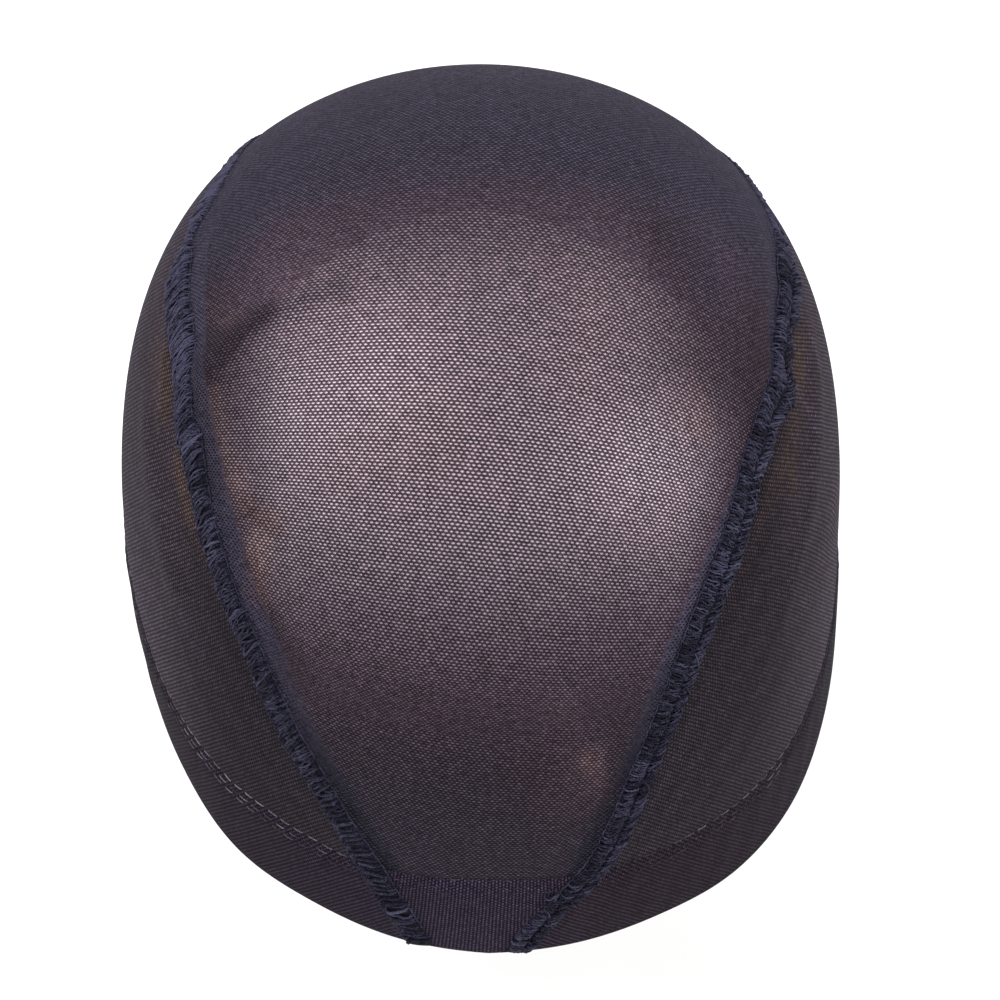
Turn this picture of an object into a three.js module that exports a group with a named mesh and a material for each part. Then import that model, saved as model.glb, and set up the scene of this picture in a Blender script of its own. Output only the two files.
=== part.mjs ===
// Wig cap: a stretchy net dome of three panels with overlocked seams and a folded hem, kept in its worn form.
// Units are millimetres. +Z is up, +Y is the back, -Y is the front and +X is the wearer's left.
// The origin is the inside of the crown at its highest point.
import * as THREE from "three";

// Dome that the worn cap follows, measured from its widest level
const HALF_WIDTH = 75;
const BACK_LENGTH = 98;
const FRONT_LENGTH = 94;
const CROWN_HEIGHT = 83.3;
const LOWER_DEPTH = 112;
// How far the dome leaves a plain ellipsoid: the front narrows, the sides are full and the nape is undercut
const FOREHEAD_NARROWING = 0.16;
const UPPER_FULLNESS = 0.21;
const LOWER_FULLNESS = 0.33;
const NAPE_UNDERCUT = 0.03;

// Cloth
const PANEL_THICKNESS = 1.0;
const HEM_THICKNESS = 1.8;
const HEM_WIDTH = 25;
const HEM_FOLD_ROUNDING = 0.5;
const HEM_FOLD_LENGTH = 1.25;
const SEAM_GAP = 0.36;
const HEM_GAP = 0.36;

// Overlocked seam ridge
const RIDGE_WIDTH = 6.0;
const RIDGE_HEIGHT = 1.7;
const RIDGE_CLEARANCE = 0.3;
const RIDGE_RISE_LENGTH = 9;
const RIDGE_END_INSET = 0.6;
// Share of the rise that lies below the hem's top line
const RIDGE_RISE_LEAD = 0.75;

// Length left off each pointed end of a side panel, as a share of its seam
const SIDE_TIP_INSET = 0.006;

// Lower edge of the hem. turn is degrees from the back, edges are degrees above the widest level,
// flares are how far the edge stands out from the dome, as shares of HEM_WIDTH
const HEM_EDGE = [
  { turn: 0, leftEdge: -36.0, rightEdge: -36.0, leftFlare: 0.072, rightFlare: 0.072 },
  { turn: 15, leftEdge: -34.5, rightEdge: -35.8, leftFlare: 0.032, rightFlare: 0.064 },
  { turn: 30, leftEdge: -31.5, rightEdge: -35.0, leftFlare: 0.008, rightFlare: 0.06 },
  { turn: 45, leftEdge: -28.0, rightEdge: -34.0, leftFlare: 0.024, rightFlare: 0.096 },
  { turn: 60, leftEdge: -22.5, rightEdge: -31.0, leftFlare: -0.032, rightFlare: 0.096 },
  { turn: 75, leftEdge: -17.0, rightEdge: -26.0, leftFlare: -0.064, rightFlare: 0.064 },
  { turn: 90, leftEdge: -14.0, rightEdge: -20.0, leftFlare: -0.064, rightFlare: 0.056 },
  { turn: 120, leftEdge: -5.0, rightEdge: -7.0, leftFlare: -0.024, rightFlare: 0.024 },
  { turn: 150, leftEdge: 5.0, rightEdge: 4.0, leftFlare: 0, rightFlare: 0 },
  { turn: 168, leftEdge: 8.4, rightEdge: 8.1, leftFlare: 0, rightFlare: 0 },
  { turn: 180, leftEdge: 8.8, rightEdge: 8.8, leftFlare: 0, rightFlare: 0 },
];
// Height above the edge over which the flare fades out, in degrees
const FLARE_REACH = 18;

// Seam lines. station is degrees from the crown toward the back, spreads are degrees out from the middle
const SEAMS = [
  { station: -100, leftSpread: 29.0, rightSpread: 29.0 },
  { station: -75, leftSpread: 31.0, rightSpread: 31.5 },
  { station: -50, leftSpread: 33.5, rightSpread: 35.0 },
  { station: -30, leftSpread: 34.8, rightSpread: 39.5 },
  { station: -13, leftSpread: 36.3, rightSpread: 44.0 },
  { station: -2, leftSpread: 40.4, rightSpread: 47.4 },
  { station: 8, leftSpread: 45.4, rightSpread: 49.8 },
  { station: 18, leftSpread: 47.8, rightSpread: 50.2 },
  { station: 27, leftSpread: 48.2, rightSpread: 49.8 },
  { station: 38, leftSpread: 47.9, rightSpread: 50.6 },
  { station: 51, leftSpread: 45.9, rightSpread: 46.4 },
  { station: 63, leftSpread: 44.0, rightSpread: 41.6 },
  { station: 73, leftSpread: 41.3, rightSpread: 36.8 },
  { station: 82, leftSpread: 37.2, rightSpread: 32.3 },
  { station: 91, leftSpread: 32.4, rightSpread: 27.8 },
  { station: 101, leftSpread: 23.8, rightSpread: 21.1 },
  { station: 111, leftSpread: 16.3, rightSpread: 15.0 },
  { station: 119, leftSpread: 11.6, rightSpread: 7.0 },
  { station: 127, leftSpread: 8.0, rightSpread: 3.4 },
  { station: 140, leftSpread: 5.0, rightSpread: 2.0 },
];

// Soft folds in the stretched net, as lines from one station and spread to another. Spread is + to the left,
// width and height are shares of the sizes above the table
const FOLD_HALF_WIDTH = 4.5;
const FOLD_HEIGHT = 1.0;
const FOLDS = [
  { fromStation: 35, fromSpread: 41.5, toStation: 29, toSpread: 23, width: 1.0, height: 1.1 },
  { fromStation: 66, fromSpread: 38.5, toStation: 83, toSpread: 31, width: 0.9, height: -0.6 },
  { fromStation: 93, fromSpread: -12, toStation: 107, toSpread: -9, width: 0.9, height: 0.9 },
  { fromStation: 18, fromSpread: -58, toStation: 50, toSpread: -62, width: 1.0, height: 0.9 },
  { fromStation: 40, fromSpread: 60, toStation: 80, toSpread: 55, width: 1.1, height: 0.8 },
];

// Mesh density
const CROWN_ROWS = 50;
const CROWN_COLUMNS = 20;
const SIDE_ROWS = 32;
const SIDE_COLUMNS = 10;
const BAND_CELLS = 30;
const END_BAND_CELLS = 12;
const RIDGE_STATIONS = 56;
const RIDGE_ARC_CELLS = 6;

const radians = (degrees) => (degrees * Math.PI) / 180;
const degrees = (angle) => (angle * 180) / Math.PI;
const clamp01 = (value) => Math.min(Math.max(value, 0), 1);
const lerp = (a, b, t) => a + (b - a) * t;
const smooth = (t) => t * t * (3 - 2 * t);

// Smooth curve through one column of a table
function tableCurve(rows, key, column) {
  const slope = rows.map((row, i) => {
    const before = rows[Math.max(i - 1, 0)];
    const after = rows[Math.min(i + 1, rows.length - 1)];
    return (after[column] - before[column]) / (after[key] - before[key]);
  });
  return (x) => {
    let i = rows.findIndex((row) => row[key] > x) - 1;
    if (i < 0) i = x < rows[0][key] ? 0 : rows.length - 2;
    const span = rows[i + 1][key] - rows[i][key];
    const t = clamp01((x - rows[i][key]) / span);
    const rise = rows[i + 1][column] - rows[i][column];
    const a = slope[i] * span - rise;
    const b = rise - slope[i + 1] * span;
    return rows[i][column] + rise * t + t * (1 - t) * (a * (1 - t) + b * t);
  };
}

const edgeCurve = {
  left: tableCurve(HEM_EDGE, "turn", "leftEdge"),
  right: tableCurve(HEM_EDGE, "turn", "rightEdge"),
};
const flareCurve = {
  left: tableCurve(HEM_EDGE, "turn", "leftFlare"),
  right: tableCurve(HEM_EDGE, "turn", "rightFlare"),
};
const spreadCurve = {
  left: tableCurve(SEAMS, "station", "leftSpread"),
  right: tableCurve(SEAMS, "station", "rightSpread"),
};

// Directions from the centre of the dome
const stationDirection = (station, spread) => {
  const s = radians(spread);
  const a = radians(station);
  return new THREE.Vector3(Math.sin(s), Math.cos(s) * Math.sin(a), Math.cos(s) * Math.cos(a));
};
const turnDirection = (turn, rise) => {
  const t = radians(turn);
  const r = radians(rise);
  return new THREE.Vector3(Math.sin(t) * Math.cos(r), Math.cos(t) * Math.cos(r), Math.sin(r));
};
const turnOf = (dir) => degrees(Math.atan2(dir.x, dir.y));
const riseOf = (dir) => degrees(Math.asin(THREE.MathUtils.clamp(dir.z, -1, 1)));
const hemEdgeRise = (turn) => edgeCurve[turn >= 0 ? "left" : "right"](Math.abs(turn));

// Point on the dome in one direction, with the hem's flare
function formPoint(dir) {
  const fore = Math.max(-dir.y, 0);
  const low = Math.max(-dir.z, 0);
  const high = Math.max(dir.z, 0);
  const swell = UPPER_FULLNESS * high ** 2 + LOWER_FULLNESS * low ** 2 - FOREHEAD_NARROWING * fore ** 2;
  const length = dir.y > 0 ? BACK_LENGTH * (1 - NAPE_UNDERCUT * low ** 2) : FRONT_LENGTH;
  const height = dir.z > 0 ? CROWN_HEIGHT : LOWER_DEPTH;
  const turn = turnOf(dir);
  const lowness = clamp01(1 - (riseOf(dir) - hemEdgeRise(turn)) / FLARE_REACH);
  const flare = HEM_WIDTH * flareCurve[turn >= 0 ? "left" : "right"](Math.abs(turn)) * lowness ** 2;
  return new THREE.Vector3(
    HALF_WIDTH * (1 + swell) * dir.x + flare * Math.sin(radians(turn)),
    length * dir.y + flare * Math.cos(radians(turn)),
    height * dir.z - CROWN_HEIGHT,
  );
}

// Outward normal of the dome
function formNormal(dir) {
  const helper = Math.abs(dir.z) < 0.9 ? new THREE.Vector3(0, 0, 1) : new THREE.Vector3(0, 1, 0);
  const a = new THREE.Vector3().crossVectors(helper, dir).normalize();
  const b = new THREE.Vector3().crossVectors(dir, a).normalize();
  const step = 0.004;
  const slide = (axis, s) => formPoint(dir.clone().addScaledVector(axis, s).normalize());
  const da = slide(a, step).sub(slide(a, -step));
  const db = slide(b, step).sub(slide(b, -step));
  return da.cross(db).normalize();
}

const foldLines = FOLDS.map((fold) => ({
  line: new THREE.Line3(
    formPoint(stationDirection(fold.fromStation, fold.fromSpread)),
    formPoint(stationDirection(fold.toStation, fold.toSpread)),
  ),
  halfWidth: fold.width * FOLD_HALF_WIDTH,
  height: fold.height * FOLD_HEIGHT,
}));

// Lift of the cloth off the dome by its folds
function foldLift(point) {
  return foldLines.reduce((lift, fold) => {
    const nearest = fold.line.closestPointToPoint(point, true, new THREE.Vector3());
    return lift + fold.height * Math.exp(-((nearest.distanceTo(point) / fold.halfWidth) ** 2));
  }, 0);
}

// Point at a height above the dome
function clothPoint(dir, height) {
  const base = formPoint(dir);
  return base.clone().addScaledVector(formNormal(dir), height + foldLift(base));
}

// Rise of the hem's top line at each turn, HEM_WIDTH up the dome from the edge
const BAND_STEP = 4;
const CLIMB_STEP = 0.25;
const bandTopRows = [];
for (let turn = -180; turn <= 180; turn += BAND_STEP) {
  let rise = hemEdgeRise(turn);
  let point = formPoint(turnDirection(turn, rise));
  let climbed = 0;
  while (climbed < HEM_WIDTH) {
    rise += CLIMB_STEP;
    const next = formPoint(turnDirection(turn, rise));
    climbed += next.distanceTo(point);
    point = next;
  }
  bandTopRows.push({ turn, rise });
}
const bandTopRise = tableCurve(bandTopRows, "turn", "rise");
// Share is 0 at the hem's lower edge and 1 at its top line
const hemRise = (turn, share) => lerp(hemEdgeRise(turn), bandTopRise(turn), share);

// Spread at a side share, from -1 on the right seam to 1 on the left seam
const gapSpread = degrees(SEAM_GAP / 2 / HALF_WIDTH);
function seamSpread(share, station) {
  const left = spreadCurve.left(station) - gapSpread;
  const right = -spreadCurve.right(station) + gapSpread;
  return lerp(right, left, (share + 1) / 2);
}

// Stations between which the hem is looked for, at the back and the front
const BACK_SEARCH = { above: 60, below: 139, halvings: 40 };
const FRONT_SEARCH = { above: -40, below: -99, halvings: 40 };

// Station where a line of constant side share meets a hem level, at the back or the front
function meetHem(spreadAt, hemShare, atBack) {
  let { above, below } = atBack ? BACK_SEARCH : FRONT_SEARCH;
  const { halvings } = atBack ? BACK_SEARCH : FRONT_SEARCH;
  for (let i = 0; i < halvings; i += 1) {
    const middle = (above + below) / 2;
    const dir = stationDirection(middle, spreadAt(middle));
    const isAbove = riseOf(dir) > hemRise(turnOf(dir), hemShare);
    if (isAbove) above = middle;
    else below = middle;
  }
  return (above + below) / 2;
}

// Closed solid from two matching grids of points, outside and inside
function shellSolid(outer, inner) {
  const rows = outer.length;
  const columns = outer[0].length;
  const positions = [];
  for (const grid of [outer, inner]) {
    for (const row of grid) {
      for (const point of row) positions.push(point.x, point.y, point.z);
    }
  }
  const out = (i, j) => i * columns + j;
  const back = (i, j) => rows * columns + i * columns + j;
  const index = [];
  const quad = (a, b, c, d) => index.push(a, b, c, a, c, d);
  for (let i = 0; i < rows - 1; i += 1) {
    for (let j = 0; j < columns - 1; j += 1) {
      quad(out(i, j), out(i + 1, j), out(i + 1, j + 1), out(i, j + 1));
      quad(back(i, j), back(i, j + 1), back(i + 1, j + 1), back(i + 1, j));
    }
  }
  for (let i = 0; i < rows - 1; i += 1) {
    quad(out(i, 0), back(i, 0), back(i + 1, 0), out(i + 1, 0));
    quad(out(i, columns - 1), out(i + 1, columns - 1), back(i + 1, columns - 1), back(i, columns - 1));
  }
  for (let j = 0; j < columns - 1; j += 1) {
    quad(out(0, j), out(0, j + 1), back(0, j + 1), back(0, j));
    quad(out(rows - 1, j), back(rows - 1, j), back(rows - 1, j + 1), out(rows - 1, j + 1));
  }
  return outwardGeometry(positions, index);
}

// Geometry whose faces point outward, whichever way its grid ran
function outwardGeometry(positions, index) {
  const corner = (k) => new THREE.Vector3().fromArray(positions, 3 * index[k]);
  let volume = 0;
  for (let k = 0; k < index.length; k += 3) {
    volume += corner(k).dot(corner(k + 1).cross(corner(k + 2)));
  }
  const faces = volume < 0 ? index.slice().reverse() : index;
  const geometry = new THREE.BufferGeometry();
  geometry.setAttribute("position", new THREE.Float32BufferAttribute(positions, 3));
  geometry.setIndex(faces);
  geometry.computeVertexNormals();
  return geometry;
}

// Grid of points for a function of row share and column share
function pointGrid(rows, columns, pointAt) {
  return Array.from({ length: rows + 1 }, (_, i) =>
    Array.from({ length: columns + 1 }, (_, j) => pointAt(i / rows, j / columns)),
  );
}

const hemGapShare = HEM_GAP / 2 / HEM_WIDTH;

// Crown panel, from the front hem's top line to the back hem's top line
function crownPanel() {
  const ends = Array.from({ length: CROWN_COLUMNS + 1 }, (_, j) => {
    const share = lerp(-1, 1, j / CROWN_COLUMNS);
    const spreadAt = (station) => seamSpread(share, station);
    return [meetHem(spreadAt, 1 + hemGapShare, false), meetHem(spreadAt, 1 + hemGapShare, true)];
  });
  const grid = (height) =>
    pointGrid(CROWN_ROWS, CROWN_COLUMNS, (t, s) => {
      const [front, rear] = ends[Math.round(s * CROWN_COLUMNS)];
      const station = lerp(front, rear, t);
      return clothPoint(stationDirection(station, seamSpread(lerp(-1, 1, s), station)), height);
    });
  return shellSolid(grid(PANEL_THICKNESS), grid(0));
}

// Hem levels across a folded band, with the surface heights that round its fold
const BAND_PROFILE = [
  { share: 0, out: HEM_THICKNESS - HEM_FOLD_ROUNDING, in: HEM_FOLD_ROUNDING },
  { share: HEM_FOLD_LENGTH / HEM_WIDTH, out: HEM_THICKNESS, in: 0 },
  { share: 0.5, out: HEM_THICKNESS, in: 0 },
  { share: 1 - hemGapShare, out: HEM_THICKNESS, in: 0 },
];

// Hem band across the crown panel, at its back or front end
function crownHemBand(atBack) {
  const grid = (side) =>
    BAND_PROFILE.map((level) =>
      Array.from({ length: END_BAND_CELLS + 1 }, (_, j) => {
        const spreadAt = (station) => seamSpread(lerp(-1, 1, j / END_BAND_CELLS), station);
        const station = meetHem(spreadAt, level.share, atBack);
        return clothPoint(stationDirection(station, spreadAt(station)), level[side]);
      }),
    );
  return shellSolid(grid("out"), grid("in"));
}

// Spread of a side piece's edge along its seam
const sideSpread = (side) => (station) =>
  side === "left" ? spreadCurve.left(station) + gapSpread : -spreadCurve.right(station) - gapSpread;

// Side panel between its seam and the hem's top line
function sidePanel(side) {
  const spreadAt = sideSpread(side);
  const share = 1 + hemGapShare;
  const front = meetHem(spreadAt, share, false);
  const rear = meetHem(spreadAt, share, true);
  const turnAt = (station) => turnOf(stationDirection(station, spreadAt(station)));
  const sideTurn = (turn) => (side === "left" ? turn : -turn);
  const frontTurn = sideTurn(turnAt(front));
  const rearTurn = sideTurn(turnAt(rear));
  const grid = (height) =>
    pointGrid(SIDE_ROWS, SIDE_COLUMNS, (t, s) => {
      const along = lerp(SIDE_TIP_INSET, 1 - SIDE_TIP_INSET, t);
      const station = lerp(front, rear, along);
      const top = stationDirection(station, spreadAt(station));
      const turn = sideTurn(lerp(frontTurn, rearTurn, along));
      const foot = turnDirection(turn, hemRise(turn, share));
      return clothPoint(top.lerp(foot, s).normalize(), height);
    });
  return shellSolid(grid(PANEL_THICKNESS), grid(0));
}

// Hem band below a side panel
function sideHemBand(side) {
  const spreadAt = sideSpread(side);
  const sideTurn = (turn) => (side === "left" ? turn : -turn);
  const grid = (face) =>
    BAND_PROFILE.map((level) => {
      const [frontTurn, rearTurn] = [false, true].map((atBack) => {
        const station = meetHem(spreadAt, level.share, atBack);
        return sideTurn(turnOf(stationDirection(station, spreadAt(station))));
      });
      return Array.from({ length: BAND_CELLS + 1 }, (_, j) => {
        const turn = sideTurn(lerp(frontTurn, rearTurn, j / BAND_CELLS));
        return clothPoint(turnDirection(turn, hemRise(turn, level.share)), level[face]);
      });
    });
  return shellSolid(grid("out"), grid("in"));
}

// Overlocked ridge along a seam, from the front edge over the crown to the nape edge
function seamRidge(side) {
  const spreadAt = (station) => (side === "left" ? spreadCurve.left(station) : -spreadCurve.right(station));
  const front = meetHem(spreadAt, RIDGE_END_INSET / HEM_WIDTH, false);
  const rear = meetHem(spreadAt, RIDGE_END_INSET / HEM_WIDTH, true);
  const dirAt = (t) => {
    const station = lerp(front, rear, t);
    return stationDirection(station, spreadAt(station));
  };
  const ring = [];
  for (let k = 0; k <= RIDGE_ARC_CELLS; k += 1) ring.push((Math.PI * k) / RIDGE_ARC_CELLS);
  const positions = [];
  for (let i = 0; i <= RIDGE_STATIONS; i += 1) {
    const t = i / RIDGE_STATIONS;
    const dir = dirAt(t);
    const normal = formNormal(dir);
    const ahead = formPoint(dirAt(Math.min(t + 0.002, 1)));
    const tangent = ahead.sub(formPoint(dirAt(Math.max(t - 0.002, 0)))).normalize();
    const across = new THREE.Vector3().crossVectors(tangent, normal).normalize();
    const edgeRise = hemEdgeRise(turnOf(dir));
    const level = (riseOf(dir) - edgeRise) / (bandTopRise(turnOf(dir)) - edgeRise);
    const pastBand = (level - 1) * HEM_WIDTH;
    const onBand = smooth(clamp01(1 + RIDGE_RISE_LEAD - pastBand / RIDGE_RISE_LENGTH));
    const base = lerp(PANEL_THICKNESS, HEM_THICKNESS, onBand) + RIDGE_CLEARANCE;
    const foot = clothPoint(dir, base);
    for (const angle of ring) {
      const point = foot
        .clone()
        .addScaledVector(across, (RIDGE_WIDTH / 2) * Math.cos(angle))
        .addScaledVector(normal, RIDGE_HEIGHT * Math.sin(angle));
      positions.push(point.x, point.y, point.z);
    }
  }
  const size = ring.length;
  const index = [];
  for (let i = 0; i < RIDGE_STATIONS; i += 1) {
    for (let k = 0; k < size; k += 1) {
      const a = i * size + k;
      const b = i * size + ((k + 1) % size);
      index.push(a, b, b + size, a, b + size, a + size);
    }
  }
  const last = RIDGE_STATIONS * size;
  for (let k = 1; k < size - 1; k += 1) {
    index.push(0, k + 1, k);
    index.push(last, last + k, last + k + 1);
  }
  return outwardGeometry(positions, index);
}

const NET = { color: 0x3b3440, roughness: 0.85, metalness: 0 };
const HEM = { color: 0x2b272e, roughness: 0.9, metalness: 0 };
const THREAD = { color: 0x2a2a3c, roughness: 0.7, metalness: 0 };

const PIECES = [
  { name: "crown_panel", geometry: crownPanel(), look: NET },
  { name: "left_side_panel", geometry: sidePanel("left"), look: NET },
  { name: "right_side_panel", geometry: sidePanel("right"), look: NET },
  { name: "nape_hem_band", geometry: crownHemBand(true), look: HEM },
  { name: "forehead_hem_band", geometry: crownHemBand(false), look: HEM },
  { name: "left_hem_band", geometry: sideHemBand("left"), look: HEM },
  { name: "right_hem_band", geometry: sideHemBand("right"), look: HEM },
  { name: "left_seam", geometry: seamRidge("left"), look: THREAD },
  { name: "right_seam", geometry: seamRidge("right"), look: THREAD },
];

const wigCap = new THREE.Group();
wigCap.name = "wig_cap";
for (const piece of PIECES) {
  const mesh = new THREE.Mesh(piece.geometry, new THREE.MeshStandardMaterial(piece.look));
  mesh.name = piece.name;
  wigCap.add(mesh);
}

export default wigCap;
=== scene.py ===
"""Looks of a stretch net wig cap in its worn form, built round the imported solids.

Tables and form functions are in millimetres and degrees, and meshes are scaled to metres.
+Z is up, +Y is the back, -Y is the front and +X is the wearer's left.
"""
import math

import bpy
import numpy as np
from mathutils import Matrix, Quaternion, Vector


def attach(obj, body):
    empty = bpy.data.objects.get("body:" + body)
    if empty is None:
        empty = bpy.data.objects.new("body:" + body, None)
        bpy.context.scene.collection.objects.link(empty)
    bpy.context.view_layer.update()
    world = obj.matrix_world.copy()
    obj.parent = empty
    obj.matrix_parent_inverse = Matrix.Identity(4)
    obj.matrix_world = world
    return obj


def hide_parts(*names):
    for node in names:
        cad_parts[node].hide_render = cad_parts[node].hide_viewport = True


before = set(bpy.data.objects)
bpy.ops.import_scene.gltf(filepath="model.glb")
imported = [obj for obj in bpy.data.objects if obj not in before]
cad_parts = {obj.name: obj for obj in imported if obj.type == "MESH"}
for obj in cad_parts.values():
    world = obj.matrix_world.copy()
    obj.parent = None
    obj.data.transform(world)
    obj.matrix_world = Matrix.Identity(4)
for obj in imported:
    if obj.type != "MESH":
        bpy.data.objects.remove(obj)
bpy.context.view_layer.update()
rng = np.random.default_rng(20)

MM = 0.001

# The dome that the solids follow
HALF_WIDTH = 75
BACK_LENGTH = 98
FRONT_LENGTH = 94
CROWN_HEIGHT = 83.3
LOWER_DEPTH = 112
FOREHEAD_NARROWING = 0.16
UPPER_FULLNESS = 0.21
LOWER_FULLNESS = 0.33
NAPE_UNDERCUT = 0.03
HEM_WIDTH = 25
FLARE_REACH = 18
SEAM_END_INSET = 0.6

# turn from the back, edge rise left and right, flare left and right as shares of HEM_WIDTH
HEM_EDGE = [
    (0, -36.0, -36.0, 0.072, 0.072),
    (15, -34.5, -35.8, 0.032, 0.064),
    (30, -31.5, -35.0, 0.008, 0.06),
    (45, -28.0, -34.0, 0.024, 0.096),
    (60, -22.5, -31.0, -0.032, 0.096),
    (75, -17.0, -26.0, -0.064, 0.064),
    (90, -14.0, -20.0, -0.064, 0.056),
    (120, -5.0, -7.0, -0.024, 0.024),
    (150, 5.0, 4.0, 0, 0),
    (168, 8.4, 8.1, 0, 0),
    (180, 8.8, 8.8, 0, 0),
]
# station from the crown toward the back, spread of the left and right seam
SEAMS = [
    (-100, 29.0, 29.0),
    (-75, 31.0, 31.5),
    (-50, 33.5, 35.0),
    (-30, 34.8, 39.5),
    (-13, 36.3, 44.0),
    (-2, 40.4, 47.4),
    (8, 45.4, 49.8),
    (18, 47.8, 50.2),
    (27, 48.2, 49.8),
    (38, 47.9, 50.6),
    (51, 45.9, 46.4),
    (63, 44.0, 41.6),
    (73, 41.3, 36.8),
    (82, 37.2, 32.3),
    (91, 32.4, 27.8),
    (101, 23.8, 21.1),
    (111, 16.3, 15.0),
    (119, 11.6, 7.0),
    (127, 8.0, 3.4),
    (140, 5.0, 2.0),
]
# Soft folds: from station and spread, to station and spread, half width, height
FOLDS = [
    (35, 41.5, 29, 23, 4.5, 1.1),
    (66, 38.5, 83, 31, 4.0, -0.6),
    (93, -12, 107, -9, 4.0, 0.9),
    (18, -58, 50, -62, 4.5, 0.9),
    (40, 60, 80, 55, 5.0, 0.8),
    (95, -16, 107, -21, 2.4, 0.45),
    (65, 37, 76, 38, 2.2, 0.35),
    (47, 40, 58, 37, 2.6, 0.3),
    (24, -44, 40, -36, 3.0, 0.35),
    (62, -62, 88, -53, 3.4, 0.45),
    (20, 50, 44, 55, 2.6, 0.35),
    (115.2, -8.4, 117, -9.4, 1.7, -0.9),
    (112.4, 8, 117, -7, 1.6, 0.3),
]

# Heights of the cloth faces above the dome, and the share of the hem over which its step rises
NET_INSIDE = 0.6
NET_OUTSIDE = 0.82
BAND_INSIDE = 0.15
BAND_OUTSIDE = 1.3
BAND_SLOPE = 0.16

# Mean radius of the dome, which turns angles into lengths
MEAN_RADIUS = 84


def unit(vectors):
    return vectors / np.linalg.norm(vectors, axis=-1, keepdims=True)


def smooth(t):
    t = np.clip(t, 0, 1)
    return t * t * (3 - 2 * t)


def table_curve(rows, column):
    """Smooth curve through one column of a table, over its first column."""
    rows = np.array(rows, float)
    xs = rows[:, 0]
    ys = rows[:, column]
    last = len(xs) - 1
    before = np.maximum(np.arange(last + 1) - 1, 0)
    after = np.minimum(np.arange(last + 1) + 1, last)
    slope = (ys[after] - ys[before]) / (xs[after] - xs[before])

    def at(x):
        i = np.clip(np.searchsorted(xs, x, side="right") - 1, 0, last - 1)
        span = xs[i + 1] - xs[i]
        t = np.clip((x - xs[i]) / span, 0, 1)
        rise = ys[i + 1] - ys[i]
        a = slope[i] * span - rise
        b = rise - slope[i + 1] * span
        return ys[i] + rise * t + t * (1 - t) * (a * (1 - t) + b * t)

    return at


edge_left, edge_right, flare_left, flare_right = (table_curve(HEM_EDGE, k) for k in (1, 2, 3, 4))
spread_left, spread_right = (table_curve(SEAMS, k) for k in (1, 2))


def station_dir(station, spread):
    s = np.radians(spread)
    a = np.radians(station)
    return np.stack([np.sin(s), np.cos(s) * np.sin(a), np.cos(s) * np.cos(a)], axis=-1)


def turn_dir(turn, rise):
    t = np.radians(turn)
    r = np.radians(rise)
    return np.stack([np.sin(t) * np.cos(r), np.cos(t) * np.cos(r), np.sin(r)], axis=-1)


def turn_of(d):
    return np.degrees(np.arctan2(d[..., 0], d[..., 1]))


def rise_of(d):
    return np.degrees(np.arcsin(np.clip(d[..., 2], -1, 1)))


def hem_edge_rise(turn):
    return np.where(turn >= 0, edge_left(np.abs(turn)), edge_right(np.abs(turn)))


def form_point(d):
    """Point on the dome in one direction, with the hem's flare."""
    fore = np.maximum(-d[..., 1], 0)
    low = np.maximum(-d[..., 2], 0)
    high = np.maximum(d[..., 2], 0)
    swell = UPPER_FULLNESS * high**2 + LOWER_FULLNESS * low**2 - FOREHEAD_NARROWING * fore**2
    length = np.where(d[..., 1] > 0, BACK_LENGTH * (1 - NAPE_UNDERCUT * low**2), FRONT_LENGTH)
    height = np.where(d[..., 2] > 0, CROWN_HEIGHT, LOWER_DEPTH)
    turn = turn_of(d)
    lowness = np.clip(1 - (rise_of(d) - hem_edge_rise(turn)) / FLARE_REACH, 0, 1)
    share = np.where(turn >= 0, flare_left(np.abs(turn)), flare_right(np.abs(turn)))
    flare = HEM_WIDTH * share * lowness**2
    x = HALF_WIDTH * (1 + swell) * d[..., 0] + flare * np.sin(np.radians(turn))
    y = length * d[..., 1] + flare * np.cos(np.radians(turn))
    z = height * d[..., 2] - CROWN_HEIGHT
    return np.stack([x, y, z], axis=-1)


def form_normal(d):
    helper = np.where(np.abs(d[..., 2:]) < 0.9, np.array([0.0, 0, 1]), np.array([0.0, 1, 0]))
    a = unit(np.cross(helper, d))
    b = unit(np.cross(d, a))
    step = 0.004
    da = form_point(unit(d + a * step)) - form_point(unit(d - a * step))
    db = form_point(unit(d + b * step)) - form_point(unit(d - b * step))
    return unit(np.cross(da, db))


def line_distance(points, start, end):
    """Distance of points from the straight line between two stations and spreads."""
    a = form_point(station_dir(start[0], start[1]))
    b = form_point(station_dir(end[0], end[1]))
    t = np.clip(((points - a) @ (b - a)) / ((b - a) @ (b - a)), 0, 1)
    return np.linalg.norm(points - a - t[..., None] * (b - a), axis=-1)


def fold_lift(points):
    lift = np.zeros(points.shape[:-1])
    for s0, a0, s1, a1, half_width, height in FOLDS:
        distance = line_distance(points, (s0, a0), (s1, a1))
        lift += height * np.exp(-((distance / half_width) ** 2))
    return lift


def cloth_point(d, height):
    base = form_point(d)
    return base + form_normal(d) * (height + fold_lift(base))[..., None]


def band_top_table():
    """Rise of the hem's top line at each turn, up the dome from the edge.

    The cloth is pulled down beside the nape and up in its middle, so the hem shows a
    little narrower or wider there than HEM_WIDTH.
    """
    turn = np.arange(-180.0, 181, 4)
    beside = np.where(turn > 0, 0.2, 0.13) * np.exp(-(((np.abs(turn) - 64) / 22) ** 2))
    width = HEM_WIDTH * (1 - beside + 0.12 * np.exp(-((turn / 14) ** 2)))
    rise = hem_edge_rise(turn)
    point = form_point(turn_dir(turn, rise))
    climbed = np.zeros_like(turn)
    while (climbed < width).any():
        going = climbed < width
        rise = rise + 0.25 * going
        ahead = form_point(turn_dir(turn, rise))
        climbed += np.linalg.norm(ahead - point, axis=-1)
        point = ahead
    return np.stack([turn, rise], axis=1)


band_top_rise = table_curve(band_top_table(), 1)


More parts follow.
